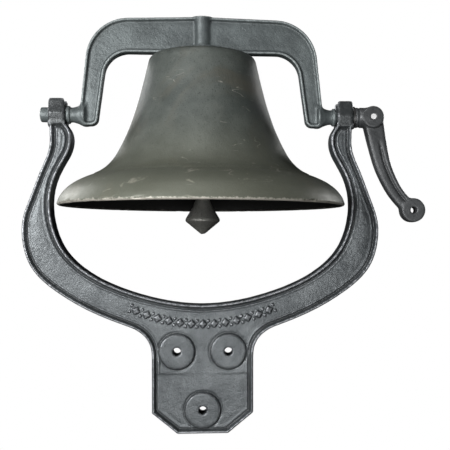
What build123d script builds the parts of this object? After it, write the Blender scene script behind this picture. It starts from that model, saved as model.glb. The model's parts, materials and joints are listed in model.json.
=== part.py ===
"""Cast-iron yard dinner bell on a lyre-shaped upright, in millimetres, +Z up.

The origin is on the flat back of the mounting plate, midway in height between its upper and lower bolt
holes. The front of the bell faces -Y and the crank is at +X. The bell swings front to back on two
trunnions that lie in open cradles at the tops of the upright's arms.
"""
import math
import os

from build123d import *

# Trunnion axis, the line that the bell swings about, along X.
AXIS_Y = -13.0
AXIS_Z = 283.5

# Upright.
FRAME_DEPTH = 24.0
RIM_WIDTH = 7.0
PANEL_SINK = 4.0
BACK_SINK = 3.0
BACK_PANEL_FOOT = 205.0  # below the axis, the back stays flat to meet the post
PANEL_START = 0.03  # as a share of the opening's length, below the top of each arm
PANEL_POINTS = 16
PLATE_HALF = 54.4
PLATE_FOOT = 340.0  # below the axis
PLATE_CHAMFER_X = 27.4
PLATE_CHAMFER_Z = 22.4

# Mounting holes, on the plate's round pads.
HOLE_DIAMETER = 8.5
HOLE_SPACING = 55.0
HOLE_RISE = 63.0
PAD_DIAMETER = 38.0
PAD_PROUD = 1.6

# Row of raised lozenges under the opening.
BEAD_ARC_RADIUS = 178.0
BEAD_ARC_CENTRE = 44.5  # below the axis
BEAD_COUNT = 13
BEAD_STEP = 3.9
BEAD_LENGTH = 9.5
BEAD_HEIGHT = 8.0
BEAD_PROUD = 1.4

# Cradles and trunnions.
CRADLE_CENTRE_X = 153.0
CRADLE_WIDTH = 18.0
CRADLE_RADIUS = 13.0
CRADLE_TOP = 17.0
TRUNNION_RADIUS = 7.9
RUNNING_GAP = 0.1
TRUNNION_LEFT_END = -171.0
TRUNNION_RIGHT_END = 192.0
COLLAR_RADIUS = 9.6
COLLAR_FACE = 143.4
COLLAR_TAPER = 4.0
ROOT_RADIUS = 11.0
ROOT_FACE = 126.0
ROOT_TAPER = 8.0

# Yoke.
YOKE_TOP = 105.0
YOKE_SEAT = 66.0
YOKE_OUTER_SHOULDER = (119.0, YOKE_TOP)
YOKE_INNER_SHOULDER = (100.6, YOKE_SEAT)
YOKE_FOOT_OUTER = 131.4
YOKE_FOOT_INNER = 111.4
YOKE_FOOT = -11.5
YOKE_OUTER_RADIUS = 46.0
YOKE_INNER_RADIUS = 26.0
YOKE_FOOT_RADIUS = 8.0
YOKE_DEPTH = 14.0
YOKE_RIM = 5.5
YOKE_SINK = 3.2
BOSS_TOP_RADIUS = 9.6
BOSS_FOOT_RADIUS = 11.5
SEAT_RADIUS = 19.0
SEAT_HEIGHT = 7.0

# Bell. Radii and heights are from its own axis and from the trunnion axis.
PACKING_THICK = 3.0
PACKING_RADIUS = 21.0
CROWN_TOP = YOKE_SEAT - PACKING_THICK
CROWN_RADIUS = 49.0
SHOULDER = (57.6, 55.0)
WAIST = ((63.2, 32.0), (70.4, 6.5), (79.7, -19.0), (92.0, -43.5))
STEP_TOP = (115.2, -63.2)
STEP_FOOT = (117.6, -65.6)
SKIRT = ((133.0, -74.0), (146.2, -84.0))
LIP = (152.4, -97.0)
LIP_INNER = (144.6, -97.0)
INNER_WALL = ((134.0, -83.5), (113.0, -71.6), (87.0, -50.0), (71.5, -19.0), (62.2, 6.5), (55.0, 32.0))
INNER_SHOULDER = (48.4, 51.0)
CROWN_THICK = 9.0
CROWN_INNER_RADIUS = 41.0

# Hanger bolt and what it clamps.
BOLT_RADIUS = 6.0
BOLT_TOP = 98.0
BOLT_HOLE_RADIUS = 6.5
WASHER_RADIUS = 15.0
WASHER_THICK = 2.5
SPRING_RADIUS = 10.5
SPRING_THICK = 3.0
SPRING_SPLIT = 1.5
NUT_FLATS = 19.0
NUT_HEIGHT = 10.0
CLEVIS_WIDTH = 26.0
CLEVIS_DEPTH = 18.0
CLEVIS_SLOT = 10.4
CLEVIS_TOP = 38.0
CLEVIS_FOOT = 8.5
CLEVIS_SLOT_TOP = 30.5

# Clapper and its pin.
PIVOT_Z = 19.0
PIN_RADIUS = 4.0
PIN_BORE_RADIUS = 4.08
PIN_HEAD_RADIUS = 6.5
PIN_HEAD_THICK = 3.0
PIN_TAIL = 8.0
PIN_WASHER_RADIUS = 7.5
PIN_WASHER_THICK = 1.6
COTTER_RADIUS = 1.2
COTTER_LENGTH = 15.0
COTTER_EYE_RADIUS = 2.6
EYE_RADIUS = 9.0
EYE_THICK = 9.6
EYE_BORE_RADIUS = 4.1
ARM_TOP_RADIUS = 4.6
ARM_FOOT_RADIUS = 6.4
HEAD_TOP_Z = -90.0
HEAD_EQUATOR_Z = -111.6
HEAD_RADIUS = 18.6
HEAD_BAND = 2.4
HEAD_TIP_Z = -126.4
HEAD_TIP_RADIUS = 1.6

# Crank.
CRANK_PIN_X = 183.6
CRANK_PIN_RADIUS = 3.0
CRANK_PIN_HOLE_RADIUS = 3.04
CRANK_PIN_PROUD = 0.6
CRANK_HEAD_RADIUS = 11.6
CRANK_HEAD_THICK = 22.0
SLEEVE_RADIUS = 11.0
SLEEVE_START = 164.6
SLEEVE_BORE_RADIUS = 8.0
CRANK_WASHER_RADIUS = 12.0
CRANK_WASHER_THICK = 1.8
CRANK_LEFT = ((174.0, -6.0), (181.4, -32.0), (187.9, -52.0), (197.6, -73.3), (218.0, -98.0))
CRANK_RIGHT = ((195.0, -4.0), (199.2, -28.0), (204.1, -57.0), (212.8, -73.3), (225.0, -89.0))
CRANK_ARM_THICK = 15.0
ROPE_EYE = (228.7, -100.3)
ROPE_EYE_RADIUS = 13.3
ROPE_EYE_THICK = 17.0
ROPE_HOLE_RADIUS = 3.5

CUT = 400.0  # longer than anything it cuts

SWING_AXIS = Plane(origin=(0, AXIS_Y, AXIS_Z), x_dir=(1, 0, 0), z_dir=(0, -1, 0))
BACK_FACE = Plane(origin=(0, 0, AXIS_Z), x_dir=(1, 0, 0), z_dir=(0, -1, 0))
BELL_AXIS = Location((0, AXIS_Y, AXIS_Z))


def save(name, solid):
    """Write one node, whose file name is its own."""
    solid.label = name
    export_step(solid, f"parts/{name}.step")


def front_prism(face, near, far):
    """A face drawn in the XZ plane of the back, pushed out from near to far towards the front."""
    return BACK_FACE * (Pos(0, 0, near) * extrude(face, far - near))


def x_cylinder(radius, start, end, y=AXIS_Y, z=AXIS_Z):
    """A round bar along X."""
    middle = (start + end) / 2
    return Pos(middle, y, z) * Rot(0, 90, 0) * Cylinder(radius, end - start)


def y_cylinder(radius, length, x, z, y=AXIS_Y):
    """A round bar along Y, centred on y."""
    return Pos(x, y, z) * Rot(90, 0, 0) * Cylinder(radius, length)


def x_cone(start_radius, end_radius, start, end):
    """A cone along X on the swing axis."""
    profile = Polyline((start, 0), (start, start_radius), (end, end_radius), (end, 0), close=True)
    return BELL_AXIS * revolve(Plane.XZ * make_face(profile), Axis.X)


def mirror_x(point):
    return (-point[0], point[1])


# ---------------------------------------------------------------- upright
OUTER_ARM = (
    (160.4, -7.0), (160.8, -34.0), (170.0, -59.0), (180.0, -85.0), (188.6, -110.0),
    (189.4, -132.0), (180.0, -162.0), (155.0, -187.0), (110.0, -213.0), (84.0, -223.4),
    (68.6, -230.2), (59.4, -239.0), (55.4, -248.0),
)
OUTER_FOOT = (54.4, -258.0)
INNER_ARM = (
    (144.0, -10.0), (137.6, -22.0), (139.4, -38.0), (150.0, -58.0), (158.9, -86.0), (157.6, -113.0),
    (146.5, -142.0), (120.0, -167.5), (76.0, -188.0),
)
INNER_LOWEST = (0.0, -201.5)


def inset_curve(curve, distance, first, last, count):
    """A smooth curve at a fixed distance to the left of another."""
    points = []
    for index in range(count):
        share = first + (last - first) * index / (count - 1)
        tangent = curve.tangent_at(share)
        points.append(curve.position_at(share) + Vector(-tangent.Y, tangent.X) * distance)
    return Spline(*points)


def plate_line(inset=0.0):
    """The plate's sides, chamfers and foot."""
    half = PLATE_HALF - inset
    turn = math.atan2(PLATE_CHAMFER_X, PLATE_CHAMFER_Z)
    corner = PLATE_FOOT - PLATE_CHAMFER_Z - inset * math.tan(turn / 2)
    foot_half = PLATE_HALF - PLATE_CHAMFER_X - inset * math.tan(math.pi / 4 - turn / 2)
    foot = PLATE_FOOT - inset
    return Polyline(
        (half, OUTER_FOOT[1]),
        (half, -corner),
        (foot_half, -foot),
        (-foot_half, -foot),
        (-half, -corner),
        (-half, OUTER_FOOT[1]),
    )


def frame_outline(inset=0.0):
    """The upright's front view, closed across the tops of its arms. An inset draws the panel in its rims."""
    opening = Spline(*INNER_ARM, INNER_LOWEST, *[mirror_x(p) for p in reversed(INNER_ARM)])
    ends = [(0.1, -1.0), (0.0, -1.0)]
    right = Spline(*OUTER_ARM, OUTER_FOOT, tangents=ends, tangent_scalars=[1.0, 1.0])
    if inset:
        opening = inset_curve(opening, -inset, PANEL_START, 1 - PANEL_START, 2 * PANEL_POINTS)
        right = inset_curve(right, -inset, 2 * PANEL_START, 1, PANEL_POINTS)
    left = mirror(right, about=Plane.YZ)
    neck_right = Line(opening @ 0, right @ 0)
    neck_left = mirror(neck_right, about=Plane.YZ)
    return make_face([opening, right, left, plate_line(inset), neck_right, neck_left])


def cradle(x):
    """An open-topped bearing for a trunnion: a round bottom with two walls standing above it."""
    start = x - CRADLE_WIDTH / 2
    round_part = x_cylinder(CRADLE_RADIUS, start, start + CRADLE_WIDTH)
    walls = Pos(x, AXIS_Y, AXIS_Z + CRADLE_TOP / 2) * Box(CRADLE_WIDTH, 2 * CRADLE_RADIUS, CRADLE_TOP)
    return round_part + walls


def cradle_slot(x):
    """The space that the trunnion drops into from above."""
    start = x - CRADLE_WIDTH
    slot_radius = TRUNNION_RADIUS + RUNNING_GAP
    bore = x_cylinder(slot_radius, start, start + 2 * CRADLE_WIDTH)
    mouth_height = 2 * CRADLE_TOP
    mouth = Box(2 * CRADLE_WIDTH, 2 * slot_radius, mouth_height)
    return bore + Pos(x, AXIS_Y, AXIS_Z + mouth_height / 2) * mouth


def bead_row():
    """Raised lozenges in an arc below the opening."""
    lozenge = make_face(Polyline(
        (BEAD_LENGTH / 2, 0),
        (0, BEAD_HEIGHT / 2),
        (-BEAD_LENGTH / 2, 0),
        (0, -BEAD_HEIGHT / 2),
        close=True,
    ))
    panel = FRAME_DEPTH - PANEL_SINK
    beads = []
    for index in range(BEAD_COUNT):
        angle = (index - (BEAD_COUNT - 1) / 2) * BEAD_STEP
        place = Pos(0, -BEAD_ARC_CENTRE) * Rot(0, 0, angle) * Pos(0, -BEAD_ARC_RADIUS)
        beads.append(front_prism(place * lozenge, panel - 1, panel + BEAD_PROUD))
    return beads


def plate_holes():
    """Centres of the three mounting holes, in the frame's XZ view."""
    middle = -AXIS_Z
    upper = middle + HOLE_RISE / 2
    lower = middle - HOLE_RISE / 2
    return ((-HOLE_SPACING / 2, upper), (HOLE_SPACING / 2, upper), (0.0, lower))


def mounting_frame():
    outline = frame_outline()
    panel = frame_outline(RIM_WIDTH)
    body = front_prism(outline, 0, FRAME_DEPTH)
    body -= front_prism(panel, FRAME_DEPTH - PANEL_SINK, FRAME_DEPTH + 1)
    arms_only = Pos(0, -BACK_PANEL_FOOT + CUT / 2) * Rectangle(CUT, CUT)
    body -= front_prism(panel & arms_only, -1, BACK_SINK)
    for side in (-1, 1):
        body += cradle(side * CRADLE_CENTRE_X)
    for x, z in plate_holes():
        pad = Pos(x, z) * Circle(PAD_DIAMETER / 2)
        body += front_prism(pad, FRAME_DEPTH - PANEL_SINK - 1, FRAME_DEPTH - PANEL_SINK + PAD_PROUD)
    for bead in bead_row():
        body += bead
    for side in (-1, 1):
        body -= cradle_slot(side * CRADLE_CENTRE_X)
    for x, z in plate_holes():
        body -= front_prism(Pos(x, z) * Circle(HOLE_DIAMETER / 2), -1, FRAME_DEPTH + 1)
    return body


# ---------------------------------------------------------------- yoke
def yoke_outline(inset=0.0):
    """The arch seen from the front. An inset draws the panel inside its rims."""
    outer_x, outer_z = YOKE_OUTER_SHOULDER
    inner_x, inner_z = YOKE_INNER_SHOULDER
    foot = YOKE_FOOT + inset
    corners = [
        (outer_x - inset, outer_z - inset),
        (YOKE_FOOT_OUTER - inset, foot),
        (YOKE_FOOT_INNER + inset, foot),
        (inner_x + inset, inner_z + inset),
    ]
    radii = [
        YOKE_OUTER_RADIUS - inset,
        YOKE_FOOT_RADIUS - inset,
        YOKE_FOOT_RADIUS - inset,
        YOKE_INNER_RADIUS + inset,
    ]
    corners += [mirror_x(p) for p in reversed(corners)]
    return make_face(FilletPolyline(*corners, radius=radii + radii[::-1], close=True))


def yoke():
    half = YOKE_DEPTH / 2
    body = SWING_AXIS * (Pos(0, 0, -half) * extrude(yoke_outline(), YOKE_DEPTH))
    recess = extrude(yoke_outline(YOKE_RIM), YOKE_SINK + 1)
    body -= SWING_AXIS * (Pos(0, 0, half - YOKE_SINK) * recess)
    body -= SWING_AXIS * (Pos(0, 0, -half - 1) * recess)
    boss_height = YOKE_TOP - YOKE_SEAT
    boss = Cone(BOSS_FOOT_RADIUS, BOSS_TOP_RADIUS, boss_height)
    body += BELL_AXIS * Pos(0, 0, YOKE_SEAT + boss_height / 2) * boss
    body += BELL_AXIS * Pos(0, 0, YOKE_SEAT + SEAT_HEIGHT / 2) * Cylinder(SEAT_RADIUS, SEAT_HEIGHT)
    body += x_cylinder(TRUNNION_RADIUS, TRUNNION_LEFT_END, -ROOT_FACE)
    body += x_cylinder(TRUNNION_RADIUS, ROOT_FACE, TRUNNION_RIGHT_END)
    for side in (-1, 1):
        body += x_cone(ROOT_RADIUS, TRUNNION_RADIUS, side * ROOT_FACE, side * (ROOT_FACE + ROOT_TAPER))
        collar_start = side * (COLLAR_FACE - COLLAR_TAPER)
        body += x_cone(TRUNNION_RADIUS, COLLAR_RADIUS, collar_start, side * COLLAR_FACE)
    bolt_depth = BOLT_TOP + 1 - YOKE_SEAT
    body -= BELL_AXIS * Pos(0, 0, YOKE_SEAT + bolt_depth / 2) * Cylinder(BOLT_RADIUS + RUNNING_GAP, bolt_depth)
    body -= y_cylinder(CRANK_PIN_HOLE_RADIUS, CRANK_HEAD_THICK, CRANK_PIN_X, AXIS_Z)
    return body


# ---------------------------------------------------------------- bell
def bell():
    crown_under = CROWN_TOP - CROWN_THICK
    edges = [
        Line((BOLT_HOLE_RADIUS, CROWN_TOP), (CROWN_RADIUS, CROWN_TOP)),
        Spline((CROWN_RADIUS, CROWN_TOP), SHOULDER, tangents=[(1, 0), (0.25, -1)]),
        Spline(SHOULDER, *WAIST, STEP_TOP, tangents=[(0.25, -1), (1, -0.55)]),
        Line(STEP_TOP, STEP_FOOT),
        Spline(STEP_FOOT, *SKIRT, LIP, tangents=[(1, -0.5), (0.1, -1)]),
        Line(LIP, LIP_INNER),
        Spline(LIP_INNER, *INNER_WALL, INNER_SHOULDER, tangents=[(-0.5, 1), (-0.3, 1)]),
        Spline(INNER_SHOULDER, (CROWN_INNER_RADIUS, crown_under), tangents=[(-0.3, 1), (-1, 0)]),
        Line((CROWN_INNER_RADIUS, crown_under), (BOLT_HOLE_RADIUS, crown_under)),
        Line((BOLT_HOLE_RADIUS, crown_under), (BOLT_HOLE_RADIUS, CROWN_TOP)),
    ]
    return BELL_AXIS * revolve(Plane.XZ * make_face(edges), Axis.Z)


# ---------------------------------------------------------------- hanger
def ring(outer, inner, height, top):
    """A flat ring on the bell's axis, its top face at the given height above the trunnion axis."""
    washer = Cylinder(outer, height) - Cylinder(inner, height + 1)
    return BELL_AXIS * Pos(0, 0, top - height / 2) * washer


def crown_washer_top():
    return CROWN_TOP - CROWN_THICK


def spring_washer_top():
    return crown_washer_top() - WASHER_THICK


def nut_top():
    return spring_washer_top() - SPRING_THICK


def spring_washer():
    washer = ring(SPRING_RADIUS, BOLT_HOLE_RADIUS, SPRING_THICK, spring_washer_top())
    split = Pos(SPRING_RADIUS, 0, spring_washer_top()) * Box(2 * SPRING_RADIUS, SPRING_SPLIT, CUT)
    return washer - BELL_AXIS * split


def crown_nut():
    nut = extrude(RegularPolygon(NUT_FLATS / 2, 6, major_radius=False), NUT_HEIGHT)
    nut -= Cylinder(BOLT_RADIUS + RUNNING_GAP, CUT)
    return BELL_AXIS * Pos(0, 0, nut_top() - NUT_HEIGHT) * nut


def hanger_bolt():
    """A threaded shank that ends below in a fork for the clapper's eye."""
    shank_height = BOLT_TOP - CLEVIS_TOP + 1
    shank = Pos(0, 0, CLEVIS_TOP - 1 + shank_height / 2) * Cylinder(BOLT_RADIUS, shank_height)
    fork_height = CLEVIS_TOP - CLEVIS_FOOT
    fork = Pos(0, 0, CLEVIS_FOOT + fork_height / 2) * Box(CLEVIS_WIDTH, CLEVIS_DEPTH, fork_height)
    fork = fillet(fork.edges().filter_by(Axis.X), CLEVIS_DEPTH / 3)
    slot_height = CLEVIS_SLOT_TOP - CLEVIS_FOOT + 1
    slot = Pos(0, 0, CLEVIS_SLOT_TOP - slot_height / 2) * Box(CLEVIS_SLOT, CLEVIS_DEPTH + 1, slot_height)
    pin_hole = Pos(0, 0, PIVOT_Z) * Rot(0, 90, 0) * Cylinder(PIN_BORE_RADIUS, CLEVIS_WIDTH + 1)
    return BELL_AXIS * (shank + fork - slot - pin_hole)


def pin_tail_end():
    return CLEVIS_WIDTH / 2 + PIN_TAIL


def cotter_x():
    return CLEVIS_WIDTH / 2 + PIN_WASHER_THICK + COTTER_RADIUS + 2 * RUNNING_GAP


def clapper_pin():
    pivot = AXIS_Z + PIVOT_Z
    head_start = -CLEVIS_WIDTH / 2 - PIN_HEAD_THICK - RUNNING_GAP
    pin = x_cylinder(PIN_RADIUS, head_start, pin_tail_end(), z=pivot)
    pin += x_cylinder(PIN_HEAD_RADIUS, head_start, head_start + PIN_HEAD_THICK, z=pivot)
    return pin - y_cylinder(COTTER_RADIUS + RUNNING_GAP, CUT, cotter_x(), pivot)


def pin_washer():
    pivot = AXIS_Z + PIVOT_Z
    start = CLEVIS_WIDTH / 2 + RUNNING_GAP / 2
    washer = x_cylinder(PIN_WASHER_RADIUS, start, start + PIN_WASHER_THICK, z=pivot)
    return washer - x_cylinder(PIN_BORE_RADIUS, start - 1, start + PIN_WASHER_THICK + 1, z=pivot)


def cotter():
    """A split pin: a straight shank through the clevis pin and its round eye."""
    pivot = AXIS_Z + PIVOT_Z
    shank = y_cylinder(COTTER_RADIUS, COTTER_LENGTH, cotter_x(), pivot)
    eye_y = AXIS_Y - COTTER_LENGTH / 2 - COTTER_EYE_RADIUS + COTTER_RADIUS
    eye = Pos(cotter_x(), eye_y, pivot) * Rot(0, 90, 0) * Torus(COTTER_EYE_RADIUS, COTTER_RADIUS)
    return shank + eye


# ---------------------------------------------------------------- clapper
def clapper():
    head = Polyline(
        (0, HEAD_TIP_Z),
        (HEAD_TIP_RADIUS, HEAD_TIP_Z),
        (HEAD_RADIUS, HEAD_EQUATOR_Z - HEAD_BAND / 2),
        (HEAD_RADIUS, HEAD_EQUATOR_Z + HEAD_BAND / 2),
        (ARM_FOOT_RADIUS, HEAD_TOP_Z),
        (ARM_TOP_RADIUS, PIVOT_Z - EYE_RADIUS / 2),
        (0, PIVOT_Z - EYE_RADIUS / 2),
        close=True,
    )
    body = BELL_AXIS * revolve(Plane.XZ * make_face(head), Axis.Z)
    pivot = AXIS_Z + PIVOT_Z
    half = EYE_THICK / 2
    body += x_cylinder(EYE_RADIUS, -half, half, z=pivot)
    return body - x_cylinder(EYE_BORE_RADIUS, -half - 1, half + 1, z=pivot)


# ---------------------------------------------------------------- crank
def crank_arm():
    left = Spline(*CRANK_LEFT)
    right = Spline(*CRANK_RIGHT)
    top = Line(CRANK_LEFT[0], CRANK_RIGHT[0])
    foot = Line(CRANK_LEFT[-1], CRANK_RIGHT[-1])
    half = CRANK_ARM_THICK / 2
    return SWING_AXIS * (Pos(0, 0, -half) * extrude(make_face([left, right, top, foot]), CRANK_ARM_THICK))


def crank():
    eye_z = AXIS_Z + ROPE_EYE[1]
    body = crank_arm()
    body += x_cylinder(SLEEVE_RADIUS, SLEEVE_START, CRANK_PIN_X)
    body += y_cylinder(CRANK_HEAD_RADIUS, CRANK_HEAD_THICK, CRANK_PIN_X, AXIS_Z)
    body += y_cylinder(ROPE_EYE_RADIUS, ROPE_EYE_THICK, ROPE_EYE[0], eye_z)
    body -= y_cylinder(ROPE_HOLE_RADIUS, CUT, ROPE_EYE[0], eye_z)
    body -= y_cylinder(CRANK_PIN_HOLE_RADIUS, CUT, CRANK_PIN_X, AXIS_Z)
    return body - x_cylinder(SLEEVE_BORE_RADIUS, SLEEVE_START - 1, TRUNNION_RIGHT_END + RUNNING_GAP)


def crank_washer():
    start = CRADLE_CENTRE_X + CRADLE_WIDTH / 2 + 0.4
    washer = x_cylinder(CRANK_WASHER_RADIUS, start, start + CRANK_WASHER_THICK)
    return washer - x_cylinder(SLEEVE_BORE_RADIUS, start - 1, start + CRANK_WASHER_THICK + 1)


def crank_pin():
    return y_cylinder(CRANK_PIN_RADIUS, CRANK_HEAD_THICK + 2 * CRANK_PIN_PROUD, CRANK_PIN_X, AXIS_Z)


def main():
    os.makedirs("parts", exist_ok=True)
    save("mounting_frame", mounting_frame())
    save("yoke", yoke())
    save("bell", bell())
    save("crown_packing", ring(PACKING_RADIUS, BOLT_HOLE_RADIUS, PACKING_THICK, YOKE_SEAT))
    save("crown_washer", ring(WASHER_RADIUS, BOLT_HOLE_RADIUS, WASHER_THICK, crown_washer_top()))
    save("spring_washer", spring_washer())
    save("crown_nut", crown_nut())
    save("hanger_bolt", hanger_bolt())
    save("clapper_pin", clapper_pin())
    save("pin_washer", pin_washer())
    save("cotter", cotter())
    save("clapper", clapper())
    save("crank", crank())
    save("crank_washer", crank_washer())
    save("crank_pin", crank_pin())


main()
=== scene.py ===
"""Cast-iron yard dinner bell: detailed castings and their finishes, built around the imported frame.

Castings are worked out in millimetres as solid fields (negative inside), with soft fillets where
their parts meet, then turned into meshes. +Z is up, -Y the front and +X the crank's side. Heights
in millimetres are measured from the swing axis.
"""
import json
import math

import bmesh
import bpy
import numpy as np
from mathutils import Matrix, Vector, kdtree, noise


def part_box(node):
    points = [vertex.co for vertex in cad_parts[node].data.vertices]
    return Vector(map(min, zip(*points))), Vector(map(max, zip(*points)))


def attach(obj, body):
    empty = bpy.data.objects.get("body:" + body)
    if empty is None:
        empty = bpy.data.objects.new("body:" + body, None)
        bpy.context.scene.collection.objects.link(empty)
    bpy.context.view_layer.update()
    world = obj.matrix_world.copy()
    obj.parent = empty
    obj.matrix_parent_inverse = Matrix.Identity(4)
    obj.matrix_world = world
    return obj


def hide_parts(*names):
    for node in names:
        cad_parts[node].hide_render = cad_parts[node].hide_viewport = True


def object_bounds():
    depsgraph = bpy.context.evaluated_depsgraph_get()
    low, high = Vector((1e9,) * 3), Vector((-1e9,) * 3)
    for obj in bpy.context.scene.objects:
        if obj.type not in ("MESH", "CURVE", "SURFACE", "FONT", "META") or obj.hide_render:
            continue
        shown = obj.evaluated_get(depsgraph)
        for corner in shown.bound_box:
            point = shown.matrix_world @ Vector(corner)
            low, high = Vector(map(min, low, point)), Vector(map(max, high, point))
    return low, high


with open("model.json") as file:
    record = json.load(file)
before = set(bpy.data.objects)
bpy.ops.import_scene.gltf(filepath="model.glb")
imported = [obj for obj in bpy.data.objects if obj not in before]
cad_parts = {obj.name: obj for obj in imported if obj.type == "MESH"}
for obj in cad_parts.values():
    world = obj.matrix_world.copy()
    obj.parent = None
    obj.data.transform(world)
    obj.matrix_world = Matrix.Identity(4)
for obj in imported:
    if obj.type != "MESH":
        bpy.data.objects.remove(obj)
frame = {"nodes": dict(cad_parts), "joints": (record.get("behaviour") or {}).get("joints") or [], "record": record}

CAD_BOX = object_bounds()
MM = 0.001

JOINTS = {joint["name"]: joint for joint in frame["joints"]}
AXIS_Y, AXIS_Z = (v / MM for v in JOINTS["bell_swing"]["pos_m"][1:])
PIVOT_Z = JOINTS["clapper_swing"]["pos_m"][2] / MM - AXIS_Z


def box_mm(node):
    """A CAD node's lowest and highest corners, in mm, with heights from the swing axis."""
    low, high = (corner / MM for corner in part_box(node))
    shift = Vector((0, 0, AXIS_Z))
    return low - shift, high - shift


FRAME_LOW, FRAME_HIGH = box_mm("mounting_frame")
YOKE_LOW, YOKE_HIGH = box_mm("yoke")
BELL_LOW = box_mm("bell")[0]
CLAPPER_LOW, CLAPPER_HIGH = box_mm("clapper")
CRANK_LOW, CRANK_HIGH = box_mm("crank")

# shared by the yoke's trunnion and the crank that is pinned to it
CRANK_PIN_X = 183.6
PIN_HOLE_RADIUS = 3.04


# ---------------------------------------------------------------- fields
RELAX_ROUNDS = 2
RELAX_IN = 0.5
RELAX_OUT = -0.52


def smooth_max(a, b, radius):
    """The larger of two fields, rounded over a radius where they meet."""
    blend = np.maximum(radius - np.abs(a - b), 0) / radius
    return np.maximum(a, b) + blend * blend * radius / 4


def smooth_min(a, b, radius):
    return -smooth_max(-a, -b, radius)


def step(low, high, value):
    """0 below low, 1 above high, smooth between."""
    share = np.clip((value - low) / (high - low), 0, 1)
    return share * share * (3 - 2 * share)


def field_grid(low, high, pitch):
    """Three broadcasting axes of a box, in mm, and its origin."""
    axes = [np.arange(a - 2 * pitch, b + 2.5 * pitch, pitch) for a, b in zip(low, high)]
    x, y, z = np.meshgrid(*axes, indexing="ij", sparse=True)
    return x, y, z, np.array([axis[0] for axis in axes])


def cylinder_x(y, z, radius, centre_z=0.0):
    return np.hypot(y - AXIS_Y, z - centre_z) - radius


def slab(value, middle, half):
    return np.abs(value - middle) - half


def field_mesh(name, field, origin, pitch):
    """A closed quad mesh of a field's zero surface, by surface nets."""
    cells = tuple(n - 1 for n in field.shape)
    inside = field < 0
    crossings = []
    totals = np.zeros((4, cells[0] * cells[1] * cells[2]), np.float32)
    for axis in range(3):
        near = [slice(None)] * 3
        far = [slice(None)] * 3
        near[axis], far[axis] = slice(0, -1), slice(1, None)
        found = np.argwhere(inside[tuple(near)] != inside[tuple(far)])
        ends = found.copy()
        ends[:, axis] += 1
        first = field[tuple(found.T)]
        last = field[tuple(ends.T)]
        points = found.astype(np.float32)
        points[:, axis] += first / (first - last)
        others = [a for a in range(3) if a != axis]
        around = []
        for back_a, back_b in ((1, 1), (0, 1), (0, 0), (1, 0)):
            cell = found.copy()
            cell[:, others[0]] -= back_a
            cell[:, others[1]] -= back_b
            index = (cell[:, 0] * cells[1] + cell[:, 1]) * cells[2] + cell[:, 2]
            around.append(index)
            for row in range(3):
                totals[row] += np.bincount(index, points[:, row], totals.shape[1])
            totals[3] += np.bincount(index, minlength=totals.shape[1])
        flip = (first < 0) != (axis == 1)
        crossings.append((np.stack(around, 1), flip))
    used = np.nonzero(totals[3])[0]
    number = np.full(totals.shape[1], -1)
    number[used] = np.arange(len(used))
    places = (totals[:3, used] / totals[3, used]).T * pitch + origin
    quads = []
    for around, flip in crossings:
        faces = number[around]
        faces[~flip] = faces[~flip][:, ::-1]
        quads.append(faces)
    quads = np.concatenate(quads)
    return mesh_object(name, relax(places, quads), quads)


def relax(places, quads):
    """Evens out a mesh: each point moves towards the middle of its neighbours, then back away."""
    edges = np.concatenate([quads[:, [i, (i + 1) % 4]] for i in range(4)])
    count = np.bincount(edges[:, 0], minlength=len(places))[:, None]
    for share in (RELAX_IN, RELAX_OUT) * RELAX_ROUNDS:
        sums = [np.bincount(edges[:, 0], places[edges[:, 1], i], len(places)) for i in range(3)]
        places = places + share * (np.stack(sums, 1) / np.maximum(count, 1) - places)
    return places


def mesh_object(name, places, faces):
    """A smooth-shaded object from points in mm, whose heights are from the swing axis."""
    mesh = bpy.data.meshes.new(name)
    moved = (np.asarray(places) + (0, 0, AXIS_Z)) * MM
    mesh.from_pydata(moved.tolist(), [], [tuple(face) for face in np.asarray(faces).tolist()])
    mesh.polygons.foreach_set("use_smooth", np.ones(len(mesh.polygons), bool))
    mesh.update()
    piece = bpy.data.objects.new(name, mesh)
    bpy.context.scene.collection.objects.link(piece)
    return piece


# ---------------------------------------------------------------- outlines
OUTLINE_SPACING = 0.5
ARC_STEPS = 24
WELD_METRES = 1e-6


def slice_loops(node, y):
    """The closed lines where a CAD node meets the plane at y, in mm, longest first."""
    bm = bmesh.new()
    bm.from_mesh(frame["nodes"][node].data)
    bmesh.ops.remove_doubles(bm, verts=bm.verts, dist=WELD_METRES)
    everything = bm.verts[:] + bm.edges[:] + bm.faces[:]
    cut = bmesh.ops.bisect_plane(
        bm, geom=everything, plane_co=(0, y * MM, 0), plane_no=(0, 1, 0))
    links = {}
    for edge in cut["geom_cut"]:
        if isinstance(edge, bmesh.types.BMEdge):
            for a, b in (edge.verts, reversed(edge.verts)):
                links.setdefault(a, []).append(b)
    loops = []
    while links:
        start = next(iter(links))
        line, here = [], start
        while here in links:
            line.append((here.co.x / MM, here.co.z / MM - AXIS_Z))
            onward = [v for v in links.pop(here) if v in links]
            here = onward[0] if onward else None
        loops.append(np.array(line))
    bm.free()
    return sorted(loops, key=loop_length, reverse=True)


def loop_length(line):
    return np.linalg.norm(line - np.roll(line, 1, 0), axis=1).sum()


def resample(line, spacing):
    """A closed line's points, evenly spaced, anticlockwise."""
    closed = np.vstack([line, line[:1]])
    along = np.concatenate([[0], np.cumsum(np.linalg.norm(np.diff(closed, axis=0), axis=1))])
    marks = np.linspace(0, along[-1], int(along[-1] / spacing), endpoint=False)
    even = np.stack([np.interp(marks, along, closed[:, i]) for i in range(2)], 1)
    ahead = np.roll(even, -1, 0)
    area = (even[:, 0] * ahead[:, 1] - ahead[:, 0] * even[:, 1]).sum()
    return even if area > 0 else even[::-1]


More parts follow.
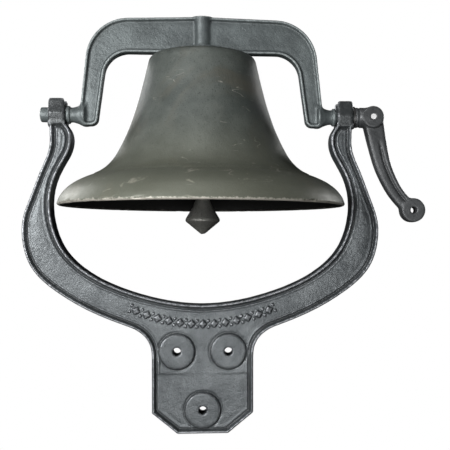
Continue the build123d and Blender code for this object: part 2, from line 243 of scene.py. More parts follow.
def depth_inside(line, x, z):
    """How far each grid point lies inside a closed line, negative outside."""
    even = resample(line, OUTLINE_SPACING)
    ahead, behind = np.roll(even, -1, 0), np.roll(even, 1, 0)
    along = ahead - behind
    inward = np.stack([-along[:, 1], along[:, 0]], 1)
    tree = kdtree.KDTree(len(even))
    for index, (px, pz) in enumerate(even):
        tree.insert((px, pz, 0), index)
    tree.balance()
    xs, zs = np.ravel(x), np.ravel(z)
    nearest = np.array([[tree.find((px, pz, 0))[1] for pz in zs] for px in xs])
    spots = np.stack(np.broadcast_arrays(xs[:, None], zs[None, :]), 2)
    base = even[nearest]
    distance = np.full(nearest.shape, np.inf)
    for other in (ahead, behind):
        side = other[nearest] - base
        share = ((spots - base) * side).sum(2) / np.maximum((side * side).sum(2), 1e-9)
        foot = base + side * np.clip(share, 0, 1)[..., None]
        distance = np.minimum(distance, np.linalg.norm(spots - foot, axis=2))
    sign = np.sign(((spots - base) * inward[nearest]).sum(2))
    return (distance * sign)[:, None, :]


def rounded_polygon(corners, radii):
    """A closed line through straight runs joined by arcs."""
    points = []
    corners = [Vector(c) for c in corners]
    for index, corner in enumerate(corners):
        back = (corners[index - 1] - corner).normalized()
        on = (corners[(index + 1) % len(corners)] - corner).normalized()
        half = back.angle(on) / 2
        reach = radii[index] / math.tan(half)
        centre = corner + (back + on).normalized() * (radii[index] / math.sin(half))
        start = corner + back * reach - centre
        turn = start.angle_signed(corner + on * reach - centre)
        for k in range(ARC_STEPS + 1):
            angle = -turn * k / ARC_STEPS
            cos, sin = math.cos(angle), math.sin(angle)
            points.append((centre.x + start.x * cos - start.y * sin,
                           centre.y + start.x * sin + start.y * cos))
    return np.array(points)


def smooth_curve(points, steps):
    """A Catmull-Rom curve through points, each of which may hold any number of values."""
    points = np.array(points, float)
    ends = np.vstack([2 * points[0] - points[1], points, 2 * points[-1] - points[-2]])
    result = []
    for a, b, c, d in zip(ends, ends[1:], ends[2:], ends[3:]):
        for t in np.linspace(0, 1, steps, endpoint=False):
            result.append(0.5 * (2 * b + (c - a) * t + (2 * a - 5 * b + 4 * c - d) * t**2
                                 + (3 * b - a - 3 * c + d) * t**3))
    return np.array(result + [points[-1]])


# ---------------------------------------------------------------- upright
RIM_FLAT = 2.6
RIM_FOOT = 5.0
GROOVE_DEPTH = 4.6
DRAFT = 0.04
PAD_RADIUS = 19.0
PAD_PROUD = 2.0
BOLT_RADIUS = 4.25
PLATE_STEP_Z = -276.0
ORNAMENT_RADIUS = 178.0
ORNAMENT_CENTRE = -44.5
ORNAMENT_STEP = math.radians(3.9)
ORNAMENT_HALF_COUNT = 6
ORNAMENT_PROUD = 2.1
LOZENGE_HALF_LENGTH = 5.4
LOZENGE_HALF_HEIGHT = 5.2
BEAD_RADIUS = 1.8
BEAD_OFFSET = 3.3
CRADLE_X = 153.0
CRADLE_HALF = 9.0
CRADLE_RADIUS = 13.0
CRADLE_TAPER = 0.15
SLOT_RADIUS = 8.25
CRADLE_TRIM_RADIUS = 13.2
CRADLE_TRIM_HALF = 8.7
FRAME_PITCH = 1.0
FRAME_ROUNDING = 1.6


def rim_relief(depth, crown):
    """Height of a face from its flat rim: a groove beside the rim, then a panel that swells."""
    groove = -GROOVE_DEPTH * step(RIM_FLAT, RIM_FOOT, depth)
    ridge = 1.0 * np.exp(-((depth - RIM_FOOT - 2.2) / 1.2) ** 2)
    swell = crown * (1 - np.exp(-np.maximum(depth - RIM_FOOT, 0) / 3.0))
    return groove + ridge + swell


def bolt_places():
    """Centres of the three mounting holes, from the record's mounts."""
    mounts = {m["name"]: m for m in frame["record"]["mounts"]}
    upper, lower = mounts["upper_bolts"], mounts["lower_bolt"]
    half = upper["dims"]["spacing_x_mm"] / 2
    upper_z = upper["pos_m"][2] / MM - AXIS_Z
    return ((-half, upper_z), (half, upper_z), (0.0, lower["pos_m"][2] / MM - AXIS_Z))


def ornament(x, z):
    """A band of lozenges with a pair of beads between them, on an arc under the opening."""
    radius = np.hypot(x, z - ORNAMENT_CENTRE)
    angle = np.arctan2(x, ORNAMENT_CENTRE - z)
    across = radius - ORNAMENT_RADIUS
    whole = np.round(angle / ORNAMENT_STEP)
    whole = np.clip(whole, -ORNAMENT_HALF_COUNT, ORNAMENT_HALF_COUNT)
    along = (angle - whole * ORNAMENT_STEP) * ORNAMENT_RADIUS
    lozenge = 1 - np.abs(along) / LOZENGE_HALF_LENGTH - np.abs(across) / LOZENGE_HALF_HEIGHT
    height = ORNAMENT_PROUD * step(0, 0.4, lozenge)
    between = (np.floor(angle / ORNAMENT_STEP) + 0.5) * ORNAMENT_STEP
    reach = (ORNAMENT_HALF_COUNT + 0.6) * ORNAMENT_STEP
    beside = (angle - between) * ORNAMENT_RADIUS
    bead = BEAD_RADIUS - np.hypot(beside, np.abs(across) - BEAD_OFFSET)
    beads = 0.8 * ORNAMENT_PROUD * step(0, 1.2, bead) * (np.abs(angle) < reach)
    return np.maximum(height, beads)


def upright_faces(x, z, depth):
    """How far forward the front and back faces stand, at each point of the front view."""
    thick = -FRAME_LOW.y - 2.0
    crown = 1.5 + 1.7 * step(-190, -100, z)
    front = thick + rim_relief(depth, crown)
    sink = 0.35 * step(8, 26, np.abs(x)) + 0.1
    below_step = step(PLATE_STEP_Z + 1.5, PLATE_STEP_Z - 1.5, z)
    front = front - sink * below_step * (depth > RIM_FOOT)
    front = front + ornament(x, z)
    for bolt_x, bolt_z in bolt_places():
        spread = np.hypot(x - bolt_x, z - bolt_z)
        pad = thick - GROOVE_DEPTH + 1.5 + PAD_PROUD - 0.5 * (spread / PAD_RADIUS) ** 4
        ring = -0.9 * np.exp(-((spread - PAD_RADIUS - 1.1) / 1.0) ** 2)
        front = np.where(spread < PAD_RADIUS + 4, front + ring, front)
        front = front + (pad - front) * step(PAD_RADIUS + 0.8, PAD_RADIUS - 0.9, spread)
    back = 3.0 * step(RIM_FLAT + 1, RIM_FOOT + 2, depth) * step(-215, -205, z)
    return front, back


def cradle_shape(x, y, z):
    """An open-topped bearing and the slot in it, on both sides at once."""
    side = slab(np.abs(x), CRADLE_X, CRADLE_HALF - 0.02 * np.maximum(z, 0))
    wall = np.abs(y - AXIS_Y) - (CRADLE_RADIUS - CRADLE_TAPER * np.maximum(z, 0))
    wall = smooth_max(smooth_max(wall, z - FRAME_HIGH.z, 3.0), -z, 0.5)
    body = smooth_max(smooth_min(cylinder_x(y, z, CRADLE_RADIUS), wall, 1.5), side, 3.5)
    mouth = np.maximum(np.abs(y - AXIS_Y) - SLOT_RADIUS, -z)
    slot = np.minimum(cylinder_x(y, z, SLOT_RADIUS), mouth)
    return body, np.maximum(slot, side - 6)


def make_upright():
    x, y, z, origin = field_grid(FRAME_LOW, FRAME_HIGH, FRAME_PITCH)
    outline = slice_loops("mounting_frame", AXIS_Y + 1)[0]
    depth = depth_inside(outline, x, z)
    front, back = upright_faces(x, z, depth)
    forward = -y
    wall = DRAFT * np.abs(forward - 12) - depth
    field = smooth_max(wall, forward - front, FRAME_ROUNDING)
    field = smooth_max(field, back - forward, FRAME_ROUNDING)
    body, slot = cradle_shape(x, y, z)
    field = smooth_min(field, body, 4.0)
    field = smooth_max(field, -slot, 0.8)
    # the fillets stay clear of the collars and the washer beside each bearing
    off_face = CRADLE_TRIM_HALF - np.abs(np.abs(x) - CRADLE_X)
    beside = np.maximum(cylinder_x(y, z, CRADLE_TRIM_RADIUS), off_face)
    field = smooth_max(field, -beside, 0.8)
    for bolt_x, bolt_z in bolt_places():
        field = smooth_max(field, BOLT_RADIUS - np.hypot(x - bolt_x, z - bolt_z), 0.8)
    piece = field_mesh("upright_casting", field.astype(np.float32), origin, FRAME_PITCH)
    finish_casting(piece, "stand", "mounting_frame", PAINTED_IRON, 0.12)


# ---------------------------------------------------------------- yoke
YOKE_PITCH = 0.85
YOKE_HALF = 7.0
YOKE_SINK = 3.0
YOKE_SEAT = 66.0
TRUNNION_RADIUS = 7.9
COLLAR_RADIUS = 9.6
COLLAR_FACE = 143.4
COLLAR_HALF = 1.7
ROOT_MIDDLE = 128
BOLT_HOLE_RADIUS = 6.1
BOLT_HOLE_TOP = 99


def yoke_outline():
    top, foot = YOKE_HIGH.z, YOKE_LOW.z
    right = [(119.0, top - 3.4), (131.4, foot), (111.4, foot), (100.6, YOKE_SEAT)]
    radii = [46.0, 8.0, 8.0, 26.0]
    left = [(-px, pz) for px, pz in reversed(right)]
    return rounded_polygon([(0.0, top)] + right + left, [600.0] + radii + radii[::-1])


def make_yoke():
    x, y, z, origin = field_grid(YOKE_LOW, YOKE_HIGH, YOKE_PITCH)
    depth = depth_inside(yoke_outline(), x, z)
    away = np.abs(y - AXIS_Y)
    relief = YOKE_SINK * step(2.3, 4.2, depth) - 0.25 * step(4.5, 9.0, depth)
    field = smooth_max(0.05 * away - depth, away - YOKE_HALF + relief, 1.4)
    around = np.hypot(x, y - AXIS_Y)
    below = np.maximum(YOKE_HIGH.z - z, 0)
    boss = around - 8.6 - 2.4 * np.exp(-below / 6) - 0.02 * below
    boss = smooth_max(boss, slab(z, 85.4, 19.5), 1.2)
    seat = smooth_max(around - 19.0, slab(z, YOKE_SEAT + 3.5, 3.5), 2.0)
    field = smooth_min(smooth_min(field, boss, 1.8), seat, 3.0)
    bar = cylinder_x(y, z, TRUNNION_RADIUS)
    reach = np.maximum(YOKE_LOW.x - x, x - YOKE_HIGH.x)
    root = cylinder_x(y, z, TRUNNION_RADIUS + 3.4 - 0.42 * np.clip(np.abs(x) - 126, 0, 8))
    root = smooth_max(root, slab(np.abs(x), ROOT_MIDDLE, 6), 1.5)
    bar = smooth_max(smooth_min(bar, root, 3.0), np.maximum(reach, 124 - np.abs(x)), 2.0)
    collar = slab(np.abs(x), COLLAR_FACE - COLLAR_HALF, COLLAR_HALF)
    collar = smooth_max(cylinder_x(y, z, COLLAR_RADIUS), collar, 1.0)
    field = smooth_min(smooth_min(field, bar, 4.0), collar, 1.0)
    field = smooth_max(field, -np.maximum(around - BOLT_HOLE_RADIUS, z - BOLT_HOLE_TOP), 0.5)
    field = smooth_max(field, PIN_HOLE_RADIUS - np.hypot(x - CRANK_PIN_X, z), 0.3)
    piece = field_mesh("yoke_casting", field.astype(np.float32), origin, YOKE_PITCH)
    finish_casting(piece, "swing", "yoke", YOKE_PAINT_LIT, 0.10)


# ---------------------------------------------------------------- crank
CRANK_PITCH = 0.75
CRANK_SPINE = (  # x, z and half width
    (185.0, -6.0, 10.4), (189.4, -28.0, 9.4), (195.6, -52.0, 8.5), (205.2, -73.3, 7.8),
    (215.0, -87.5, 7.4), (226.0, -98.5, 7.4),
)
CRANK_HEAD_RADIUS = 11.6
CRANK_HEAD_HALF = 10.9
SLEEVE_RADIUS = 10.9
SLEEVE_BORE_RADIUS = 8.0
SLEEVE_BORE_END = 192.1
ROPE_EYE_RADIUS = 13.3
ROPE_EYE_HALF = 8.4
ROPE_HOLE_RADIUS = 3.5


def make_crank():
    x, y, z, origin = field_grid(CRANK_LOW, CRANK_HIGH, CRANK_PITCH)
    away = np.abs(y - AXIS_Y)
    spine = smooth_curve(CRANK_SPINE, 14)
    arm = np.full((x.shape[0], 1, z.shape[2]), np.inf)
    offset = np.zeros_like(arm)
    run = np.zeros_like(arm)
    for index, (px, pz, half) in enumerate(spine):
        ahead = spine[min(index + 1, len(spine) - 1)] - spine[max(index - 1, 0)]
        right = np.array([-ahead[1], ahead[0]]) / np.hypot(ahead[0], ahead[1])
        gap = np.hypot(x - px, z - pz) - half
        closer = gap < arm
        arm = np.where(closer, gap, arm)
        offset = np.where(closer, (x - px) * right[0] + (z - pz) * right[1], offset)
        run = np.where(closer, index / (len(spine) - 1), run)
    middle = 1 - np.abs(2 * run - 1) ** 6
    flute = 2.4 * np.exp(-((offset - 1.8) / 1.5) ** 2) * step(0.16, 0.3, run) * middle
    edge_fall = 0.9 * step(-3.5, 0.5, arm)
    thick = 8.6 - 1.6 * step(0, 0.5, run) - flute - edge_fall
    arm_solid = smooth_max(arm, away - thick, 1.6)
    from_pin = np.hypot(x - CRANK_PIN_X, z)
    head = smooth_max(from_pin - CRANK_HEAD_RADIUS, away - CRANK_HEAD_HALF, 1.4)
    groove = 0.8 * np.exp(-((x - CRANK_LOW.x - 4.2) / 0.9) ** 2)
    ends = np.maximum(CRANK_LOW.x - x, x - CRANK_PIN_X)
    sleeve = smooth_max(cylinder_x(y, z, SLEEVE_RADIUS) + groove, ends, 1.0)
    eye_x, eye_z = rope_eye()
    spread = np.hypot(x - eye_x, z - eye_z)
    eye = smooth_max(spread - ROPE_EYE_RADIUS + 0.05 * away, away - ROPE_EYE_HALF, 1.8)
    field = smooth_min(smooth_min(arm_solid, head, 2.0), smooth_min(sleeve, eye, 1.0), 2.4)
    bore = smooth_max(cylinder_x(y, z, SLEEVE_BORE_RADIUS), x - SLEEVE_BORE_END, 0.4)
    field = smooth_max(field, -bore, 0.5)
    field = smooth_max(field, PIN_HOLE_RADIUS - from_pin, 0.4)
    field = smooth_max(field, ROPE_HOLE_RADIUS - spread, 1.2)
    piece = field_mesh("crank_casting", field.astype(np.float32), origin, CRANK_PITCH)
    finish_casting(piece, "swing", "crank", CRANK_PAINT_SHADED, 0.10)


def rope_eye():
    """Centre of the rope's hole in the front view, from the record's mounts."""
    mount = next(m for m in frame["record"]["mounts"] if m["name"] == "rope_eye")
    return mount["pos_m"][0] / MM, mount["pos_m"][2] / MM - AXIS_Z


# ---------------------------------------------------------------- clapper
CLAPPER_PITCH = 0.6
HEAD_RADIUS = 18.6
EQUATOR_Z = -111.6
EYE_RADIUS = 9.0
EYE_HALF = 4.8
EYE_BORE_RADIUS = 4.1
FORK_ROOM_HALF = 4.6
FORK_REACH = (12.6, 24)


def make_clapper():
    x, y, z, origin = field_grid(CLAPPER_LOW, CLAPPER_HIGH, CLAPPER_PITCH)
    around = np.hypot(x, y - AXIS_Y)
    lower = 0.64 * around + 0.77 * (EQUATOR_Z - 1.0 - z) - 0.64 * HEAD_RADIUS
    upper = 0.86 * around + 0.51 * (z - EQUATOR_Z - 1.0) - 0.86 * HEAD_RADIUS
    head = smooth_max(smooth_max(lower, upper, 1.2), around - HEAD_RADIUS, 1.0)
    head = smooth_max(head, CLAPPER_LOW.z - z, 1.5)
    share = np.clip((z - EQUATOR_Z) / (PIVOT_Z - EQUATOR_Z), 0, 1)
    arm = smooth_max(around - 6.8 + 2.0 * share, slab(z, -45, 62), 1.5)
    from_pin = np.hypot(y - AXIS_Y, z - PIVOT_Z)
    eye = smooth_max(from_pin - EYE_RADIUS, slab(x, 0, EYE_HALF), 1.4)
    seam = 0.35 * np.exp(-((x + 1.6) / 0.7) ** 2)
    field = smooth_min(smooth_min(head, arm, 5.0) - seam, eye, 3.0)
    fork_room = np.abs(x) - FORK_ROOM_HALF - 30 * step(*FORK_REACH, from_pin)
    field = smooth_max(field, fork_room, 0.6)
    field = smooth_max(field, EYE_BORE_RADIUS - from_pin, 0.5)
    piece = field_mesh("clapper_casting", field.astype(np.float32), origin, CLAPPER_PITCH)
    finish_casting(piece, "striker", "clapper", CLAPPER_IRON_BRIGHTENED, 0.10)


# ---------------------------------------------------------------- bell
BELL_SEGMENTS = 256
BELL_SHRINK = 0.9985
LIP_BAND = 3.0
BELL_OUTER = (  # radius and height from the swing axis
    (6.5, 63.0), (30.0, 63.0), (48.0, 62.9), (53.6, 61.6), (57.0, 57.6), (58.9, 50.0),
    (63.2, 32.0), (70.2, 6.5), (79.4, -19.0), (91.0, -42.5), (100.0, -54.0), (108.0, -60.4),
    (114.8, -64.0),
)
BELL_SKIRT = (
    (116.4, -65.2), (125.0, -68.6), (134.8, -73.6), (143.4, -80.2), (149.0, -87.4),
    (151.5, -93.0), (152.0, -95.4), (150.6, -96.9), (147.6, -96.8),
)
BELL_INNER = (
    (145.4, -95.6), (141.0, -89.6), (133.0, -83.0), (113.0, -71.6), (98.0, -61.0),
    (87.0, -50.0), (71.5, -19.0), (62.2, 6.5), (55.0, 32.0), (50.0, 48.0), (46.0, 53.0),
    (40.0, 54.0), (20.0, 54.0), (6.5, 54.0),
)


def bell_profile():
    """Radius and height of the wall: from the crown's hole over the outside, then up the inside."""
    outer = smooth_curve(BELL_OUTER, 9)
    skirt = smooth_curve(BELL_SKIRT, 8)
    inner = smooth_curve(BELL_INNER, 7)
    return np.vstack([outer, skirt, inner])


def make_bell():
    profile = bell_profile()
    rings = len(profile)
    places = []
    lip = BELL_LOW.z
    for radius, height in profile:
        for k in range(BELL_SEGMENTS):
            angle = 2 * math.pi * k / BELL_SEGMENTS
            spot = Vector((radius * math.cos(angle), radius * math.sin(angle), height))
            broad = noise.noise(spot * 0.035) * 0.45 * min(1.0, radius / 60)
            fine = noise.noise(spot * 0.21) * 0.10
            near_lip = max(0.0, 1 - abs(height - lip - 1.5) / LIP_BAND)
            chip = noise.noise(spot * 0.16 + Vector((7, 3, 1))) - 0.28
            chip = max(0.0, chip) * 4.5 * near_lip
            thin = 1 - (broad * 0.3 + fine + chip) / max(radius, 20) if radius > 10 else 1
            places.append((spot.x * thin * BELL_SHRINK, AXIS_Y + spot.y * thin * BELL_SHRINK,
                           height + chip * 0.35))
    quads = []
    for ring in range(rings):
        onward = (ring + 1) % rings
        for k in range(BELL_SEGMENTS):
            beside = (k + 1) % BELL_SEGMENTS
            quads.append((ring * BELL_SEGMENTS + k, onward * BELL_SEGMENTS + k,
                          onward * BELL_SEGMENTS + beside, ring * BELL_SEGMENTS + beside))
    piece = mesh_object("bell_shell", places, quads)
    finish_casting(piece, "swing", "bell", BELL_IRON, 0.0)


# ---------------------------------------------------------------- materials
def node_tree(name):
    material = bpy.data.materials.new(name)
    material.use_nodes = True
    nodes = material.node_tree.nodes
    shader = nodes["Principled BSDF"]
    return material, nodes, material.node_tree.links, shader


def noise_node(nodes, links, place, scale, detail=4.0, rough=0.5, distortion=0.0):
    texture = nodes.new("ShaderNodeTexNoise")
    texture.inputs["Scale"].default_value = scale
    texture.inputs["Detail"].default_value = detail
    texture.inputs["Roughness"].default_value = rough
    texture.inputs["Distortion"].default_value = distortion
    links.new(place, texture.inputs["Vector"])
    return texture.outputs["Fac"]


def ramp_node(nodes, links, source, low, high):
    """Maps a value between two limits to 0 and 1, smoothly."""
    ramp = nodes.new("ShaderNodeMapRange")
    ramp.interpolation_type = "SMOOTHSTEP"
    ramp.inputs["From Min"].default_value = low
    ramp.inputs["From Max"].default_value = high
    links.new(source, ramp.inputs["Value"])
    return ramp.outputs["Result"]


def mix_colour(nodes, links, factor, first, second):
    mix = nodes.new("ShaderNodeMix")
    mix.data_type = "RGBA"
    links.new(factor, mix.inputs["Factor"])
    for socket, value in ((mix.inputs["A"], first), (mix.inputs["B"], second)):
        if isinstance(value, tuple):
            socket.default_value = (*value, 1)
        else:
            links.new(value, socket)
    return mix.outputs["Result"]


def mix_value(nodes, links, operation, first, second):
    maths = nodes.new("ShaderNodeMath")
    maths.operation = operation
    for socket, value in zip(maths.inputs, (first, second)):
        if isinstance(value, float):
            socket.default_value = value
        else:
            links.new(value, socket)
    return maths.outputs["Value"]


# painted shade for grooves and hollows
HOLLOW_SHADE = (0.018, 0.018, 0.018)
# darker tone towards the upright's top
CRADLE_DARK = (0.028, 0.03, 0.03)
# olive patina, set lighter as painted light
OLIVE_LIGHTENED = (0.138, 0.142, 0.105)
SCRATCHED = (0.40, 0.39, 0.34)
SCUFFED = (0.36, 0.35, 0.29)
LIP_METAL = (0.40, 0.38, 0.33)
# painted shade for the inside of the bell
INSIDE_SHADE = (0.017, 0.017, 0.016)


def cast_iron(name, dark, light, worn_and_highlight, metallic=0.3, rough=(0.36, 0.52), sand=0.45,
              stain=None, extra=None):
    """Paint over sand-cast iron: mottled colour, edges lightened partly as paint chafed off and partly as painted
    highlight, painted shade darkening the hollows, and fine sand texture.
    """
    material, nodes, links, shader = node_tree(name)
    place = nodes.new("ShaderNodeTexCoord").outputs["Object"]
    mottle = noise_node(nodes, links, place, 34.0, 6.0, 0.62)
    colour = mix_colour(nodes, links, ramp_node(nodes, links, mottle, 0.32, 0.7), dark, light)
    speck = noise_node(nodes, links, place, 620.0, 3.0, 0.6)
    darker = tuple(0.55 * c for c in dark)
    colour = mix_colour(nodes, links, ramp_node(nodes, links, speck, 0.56, 0.74), colour, darker)
    if stain:
        patches = noise_node(nodes, links, place, 11.0, 5.0, 0.6, 0.6)
        patches = ramp_node(nodes, links, patches, 0.5, 0.68)
        colour = mix_colour(nodes, links, patches, colour, stain)
    if extra:
        colour = extra(nodes, links, place, colour)
    geometry = nodes.new("ShaderNodeNewGeometry")
    # Painted shade: concave spots are darkened towards near-black, as grooves and hollows would be in shade.
    painted_hollow_shade = ramp_node(nodes, links, geometry.outputs["Pointiness"], 0.485, 0.44)
    painted_hollow_shade = mix_value(nodes, links, "MULTIPLY", painted_hollow_shade, 0.75)
    colour = mix_colour(nodes, links, painted_hollow_shade, colour, HOLLOW_SHADE)
    # Convex edges made lighter: partly paint chafed off, partly a painted highlight along the rims.
    scratch = noise_node(nodes, links, place, 260.0, 5.0, 0.7)
    edge = mix_value(nodes, links, "ADD", geometry.outputs["Pointiness"],
                     mix_value(nodes, links, "MULTIPLY", scratch, 0.06))
    rubbed_and_highlight = ramp_node(nodes, links, edge, 0.545, 0.60)
    colour = mix_colour(nodes, links, rubbed_and_highlight, colour, worn_and_highlight)
    links.new(colour, shader.inputs["Base Color"])
    shader.inputs["Metallic"].default_value = metallic
    gloss = nodes.new("ShaderNodeMapRange")
    gloss.inputs["To Min"].default_value = rough[0]
    gloss.inputs["To Max"].default_value = rough[1]
    links.new(noise_node(nodes, links, place, 90.0, 5.0, 0.6), gloss.inputs["Value"])
    links.new(gloss.outputs["Result"], shader.inputs["Roughness"])
    fine = noise_node(nodes, links, place, 900.0, 2.0, 0.5)
    coarse = noise_node(nodes, links, place, 240.0, 4.0, 0.6)
    grain = mix_value(nodes, links, "ADD", fine,
                      mix_value(nodes, links, "MULTIPLY", coarse, 1.6))
    bump = nodes.new("ShaderNodeBump")
    bump.inputs["Strength"].default_value = sand
    bump.inputs["Distance"].default_value = 0.0006
    links.new(grain, bump.inputs["Height"])
    links.new(bump.outputs["Normal"], shader.inputs["Normal"])
    return material


def scratch_mask(nodes, links, place, stretch, scale, width):
    """Thin wandering lines, broken up into patches."""
    mapping = nodes.new("ShaderNodeMapping")
    mapping.inputs["Scale"].default_value = stretch
    links.new(place, mapping.inputs["Vector"])
    lines = noise_node(nodes, links, mapping.outputs["Vector"], scale, 2.0, 0.5, 0.4)
    offset = mix_value(nodes, links, "SUBTRACT", lines, 0.5)
    centred = mix_value(nodes, links, "ABSOLUTE", offset, 0.0)
    thin = ramp_node(nodes, links, centred, width, 0.0)
    patches = noise_node(nodes, links, place, 38.0, 4.0, 0.6)
    patches = ramp_node(nodes, links, patches, 0.56, 0.66)
    return mix_value(nodes, links, "MULTIPLY", thin, patches)


def darker_near_cradles(nodes, links, place, colour):
    """Darker towards the upright's top, around the cradles, by a height ramp."""
    apart = nodes.new("ShaderNodeSeparateXYZ")
    links.new(place, apart.inputs["Vector"])
    reach = ramp_node(nodes, links, apart.outputs["Z"], (AXIS_Z - 20) * MM, (AXIS_Z - 6) * MM)
    return mix_colour(nodes, links, mix_value(nodes, links, "MULTIPLY", reach, 0.62), colour, CRADLE_DARK)


def inner_side(nodes, links, place):
    """1 on surfaces that face the bell's own axis, 0 outside."""
    geometry = nodes.new("ShaderNodeNewGeometry")
    centred = nodes.new("ShaderNodeVectorMath")
    centred.operation = "SUBTRACT"
    centred.inputs[1].default_value = (0, AXIS_Y * MM, 0)
    links.new(place, centred.inputs[0])
    flat = nodes.new("ShaderNodeVectorMath")
    flat.operation = "MULTIPLY"
    flat.inputs[1].default_value = (1, 1, 0)
    links.new(centred.outputs["Vector"], flat.inputs[0])
    facing = nodes.new("ShaderNodeVectorMath")
    facing.operation = "DOT_PRODUCT"
    links.new(flat.outputs["Vector"], facing.inputs[0])
    links.new(geometry.outputs["Normal"], facing.inputs[1])
    return ramp_node(nodes, links, facing.outputs["Value"], -0.002, -0.012)


def bell_wear_and_shade(nodes, links, place, colour):
    """Olive towards the mouth, set lighter in part as painted light; scratches, a scuffed skirt, a lip chafed and
    chipped bright, and painted shade darkening the inside.
    """
    apart = nodes.new("ShaderNodeSeparateXYZ")
    links.new(place, apart.inputs["Vector"])
    height = apart.outputs["Z"]
    lip = (AXIS_Z + BELL_LOW.z) * MM
    # Olive patina towards the mouth; the olive is set lighter as painted light, so that the less-lit skirt looks
    # as bright as the upper body.
    low = ramp_node(nodes, links, height, lip + 0.10, lip + 0.02)
    skirt_olive_lift = mix_value(nodes, links, "MULTIPLY", low, 0.65)
    colour = mix_colour(nodes, links, skirt_olive_lift, colour, OLIVE_LIGHTENED)
    scratches = scratch_mask(nodes, links, place, (1.0, 1.0, 3.5), 26.0, 0.012)
    scratches = mix_value(nodes, links, "MULTIPLY", scratches, 0.7)
    colour = mix_colour(nodes, links, scratches, colour, SCRATCHED)
    scuffs = scratch_mask(nodes, links, place, (1.0, 1.0, 2.2), 34.0, 0.035)
    on_skirt = ramp_node(nodes, links, height, lip + 0.036, lip + 0.026)
    scuffs = mix_value(nodes, links, "MULTIPLY", scuffs, on_skirt)
    scuffs = mix_value(nodes, links, "MULTIPLY", scuffs, 0.6)
    colour = mix_colour(nodes, links, scuffs, colour, SCUFFED)
    ragged = noise_node(nodes, links, place, 330.0, 5.0, 0.7)
    ragged = mix_value(nodes, links, "MULTIPLY", ragged, 0.0085)
    reach = mix_value(nodes, links, "SUBTRACT", height, ragged)
    edge = ramp_node(nodes, links, reach, lip - 0.0014, lip - 0.0030)
    colour = mix_colour(nodes, links, edge, colour, LIP_METAL)
    # Painted shade: faces turned towards the bell's axis are darkened near-black, for the shade inside the bell.
    return mix_colour(nodes, links, inner_side(nodes, links, place), colour, INSIDE_SHADE)


def steel(name, colour, rough, metallic=0.9):
    """Dull turned or plated steel with fine scratches and faint stains."""
    material, nodes, links, shader = node_tree(name)
    place = nodes.new("ShaderNodeTexCoord").outputs["Object"]
    stains = noise_node(nodes, links, place, 160.0, 5.0, 0.65)
    stains = ramp_node(nodes, links, stains, 0.45, 0.75)
    stained = tuple(0.45 * c for c in colour)
    mottled = mix_colour(nodes, links, stains, colour, stained)
    links.new(mottled, shader.inputs["Base Color"])
    shader.inputs["Metallic"].default_value = metallic
    gloss = nodes.new("ShaderNodeMapRange")
    gloss.inputs["To Min"].default_value = rough - 0.1
    gloss.inputs["To Max"].default_value = rough + 0.18
    links.new(noise_node(nodes, links, place, 420.0, 4.0, 0.6), gloss.inputs["Value"])
    links.new(gloss.outputs["Result"], shader.inputs["Roughness"])
    bump = nodes.new("ShaderNodeBump")
    bump.inputs["Strength"].default_value = 0.15
    bump.inputs["Distance"].default_value = 0.0003
    links.new(noise_node(nodes, links, place, 1500.0, 3.0, 0.6), bump.inputs["Height"])
    links.new(bump.outputs["Normal"], shader.inputs["Normal"])
    return material


def leather(name):
    material, nodes, links, shader = node_tree(name)
    place = nodes.new("ShaderNodeTexCoord").outputs["Object"]
    tone = ramp_node(nodes, links, noise_node(nodes, links, place, 120.0, 5.0, 0.6), 0.35, 0.7)
    brown = mix_colour(nodes, links, tone, (0.09, 0.05, 0.03), (0.17, 0.10, 0.06))
    links.new(brown, shader.inputs["Base Color"])
    shader.inputs["Roughness"].default_value = 0.7
    bump = nodes.new("ShaderNodeBump")
    bump.inputs["Strength"].default_value = 0.5
    bump.inputs["Distance"].default_value = 0.0005
    links.new(noise_node(nodes, links, place, 700.0, 4.0, 0.7), bump.inputs["Height"])
    links.new(bump.outputs["Normal"], shader.inputs["Normal"])
    return material


PAINTED_IRON = cast_iron(
    "painted_iron", (0.055, 0.062, 0.066), (0.102, 0.112, 0.117), (0.33, 0.34, 0.36),
    metallic=0.45, rough=(0.29, 0.45), extra=darker_near_cradles)
# The upright's black paint again, made lighter for the yoke: painted light.
YOKE_PAINT_LIT = cast_iron(
    "yoke_paint_lit", (0.07, 0.082, 0.084), (0.122, 0.141, 0.143), (0.28, 0.31, 0.31))
# The same black paint, made darker for the crank: painted shade.
CRANK_PAINT_SHADED = cast_iron(
    "crank_paint_shaded", (0.046, 0.049, 0.051), (0.078, 0.082, 0.085), (0.17, 0.175, 0.18), sand=0.25)
# A lighter iron for the clapper, and partly painted light: its colour is raised to offset the shade it hangs in
# under the bell.
CLAPPER_IRON_BRIGHTENED = cast_iron(
    "clapper_iron", (0.13, 0.13, 0.122), (0.22, 0.22, 0.2), (0.5, 0.48, 0.44), metallic=0.5)
BELL_IRON = cast_iron(
    "bell_patina", (0.066, 0.076, 0.07), (0.108, 0.12, 0.11), (0.30, 0.29, 0.25),
    metallic=0.25, rough=(0.40, 0.58), sand=0.3, stain=(0.10, 0.098, 0.08), extra=bell_wear_and_shade)

SAND_SIZE = 0.006
EASED_EDGE = 0.3 * MM
EASED_ANGLE = math.radians(40)


def finish_casting(piece, body, node, material, roughen):
    """Gives a casting its paint and its unevenness, and puts it in place of its CAD solid."""
    piece.data.materials.append(material)
    if roughen:
        texture = bpy.data.textures.new(piece.name + "_sand", "CLOUDS")
        texture.noise_scale = SAND_SIZE
        uneven = piece.modifiers.new("uneven", "DISPLACE")
        uneven.texture = texture
        uneven.texture_coords = "LOCAL"
        uneven.strength = roughen * 2 * MM
        uneven.mid_level = 0.5
    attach(piece, body)
    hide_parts(node)


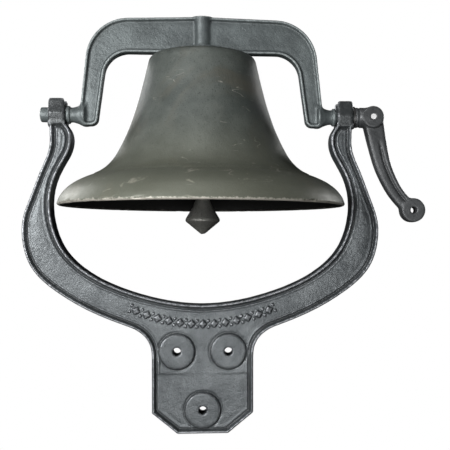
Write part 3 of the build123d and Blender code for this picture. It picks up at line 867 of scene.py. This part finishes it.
def dress_hardware():
    """Gives the small turned and stamped pieces their finishes and eases their edges."""
    plate = steel("dull_zinc", (0.42, 0.42, 0.40), 0.42)
    bright = steel("rubbed_steel", (0.8, 0.8, 0.8), 0.45, 0.35)
    dark = steel("oiled_steel", (0.12, 0.12, 0.12), 0.4)
    finishes = {
        "crown_packing": leather("oiled_leather"),
        "crank_pin": bright,
        "crank_washer": dark,
        "clapper_pin": plate, "pin_washer": plate, "cotter": plate, "crown_washer": plate,
        "spring_washer": plate, "crown_nut": plate, "hanger_bolt": plate,
    }
    for node, material in finishes.items():
        piece = frame["nodes"][node]
        piece.data.materials.clear()
        piece.data.materials.append(material)
        bevel = piece.modifiers.new("eased_edges", "BEVEL")
        bevel.width = EASED_EDGE
        bevel.segments = 2
        bevel.limit_method = "ANGLE"
        bevel.angle_limit = EASED_ANGLE


# ---------------------------------------------------------------- stage
CAMERA_DISTANCE = 0.80
CAMERA_SIDE = 0.0088
CAMERA_DROP = -0.131
CAMERA_YAW = math.radians(3.5)
CAMERA_PITCH = math.radians(-0.81)
CAMERA_LENS = 59.25
CAMERA_SHIFT = (-0.0693, 0.0528)
SENSOR_WIDTH = 36.0
FLOOR_RADIUS = 4.0
FLOOR_DROP = 2.5
WHITE = (1, 1, 1, 1)
LAMPS = (  # name, place, size, watts and what it is turned to
    ("key", (-0.72, -1.05, 0.34), (0.4, 0.4), 18.5, (-0.04, 0, 0.14)),
    ("low_fill", (0.05, -1.3, -0.1), (0.4, 0.4), 6.5, (0, 0, 0.17)),
    ("top", (-0.2, -0.6, 1.4), (0.6, 0.5), 3.0, (0, 0, 0.18)),
    ("back_left", (-1.5, 1.1, 0.9), (0.6, 0.6), 16.0, (0, 0, 0.18)),
    ("back_right", (1.5, 1.1, 0.7), (0.6, 0.6), 13.0, (0, 0, 0.18)),
)


def make_camera():
    camera = bpy.data.cameras.new("camera")
    camera.sensor_width = SENSOR_WIDTH
    camera.lens = CAMERA_LENS
    camera.shift_x, camera.shift_y = CAMERA_SHIFT
    holder = bpy.data.objects.new("camera", camera)
    holder.location = (CAMERA_SIDE, AXIS_Y * MM - CAMERA_DISTANCE, AXIS_Z * MM + CAMERA_DROP)
    tilt = Matrix.Rotation(math.pi / 2 + CAMERA_PITCH, 3, "X")
    holder.rotation_euler = (Matrix.Rotation(-CAMERA_YAW, 3, "Z") @ tilt).to_euler()
    bpy.context.scene.collection.objects.link(holder)
    bpy.context.scene.camera = holder


def make_lamp(name, place, size, power, target):
    lamp = bpy.data.lights.new(name, "AREA")
    lamp.shape = "RECTANGLE"
    lamp.size, lamp.size_y = size
    lamp.energy = power
    holder = bpy.data.objects.new(name, lamp)
    holder.location = place
    aim = Vector(target) - Vector(place)
    holder.rotation_euler = aim.to_track_quat("-Z", "Y").to_euler()
    bpy.context.scene.collection.objects.link(holder)


def make_floor():
    """A white floor far below, so that views from under the bell still see it."""
    bm = bmesh.new()
    bmesh.ops.create_circle(bm, cap_ends=True, segments=96, radius=FLOOR_RADIUS)
    mesh = bpy.data.meshes.new("floor")
    bm.to_mesh(mesh)
    bm.free()
    floor = bpy.data.objects.new("floor", mesh)
    floor.location.z = CAD_BOX[0].z - FLOOR_DROP
    bpy.context.scene.collection.objects.link(floor)
    material, _, _, shader = node_tree("pale_floor")
    shader.inputs["Base Color"].default_value = (0.9, 0.9, 0.9, 1)
    shader.inputs["Roughness"].default_value = 0.9
    shader.inputs["Emission Color"].default_value = WHITE
    shader.inputs["Emission Strength"].default_value = 1.0
    floor.data.materials.append(material)
    floor.visible_diffuse = False
    floor.visible_glossy = False


def make_studio():
    """A white world that lights nothing itself, and the lamps."""
    world = bpy.data.worlds.new("studio")
    world.use_nodes = True
    background = world.node_tree.nodes["Background"]
    background.inputs["Color"].default_value = WHITE
    background.inputs["Strength"].default_value = 1.0
    world.cycles_visibility.diffuse = False
    world.cycles_visibility.glossy = False
    bpy.context.scene.world = world
    for lamp in LAMPS:
        make_lamp(*lamp)
    bpy.context.scene.view_settings.view_transform = "Standard"


make_camera()
make_floor()
make_studio()
make_upright()
make_yoke()
make_crank()
make_clapper()
make_bell()
dress_hardware()

bpy.context.view_layer.update()
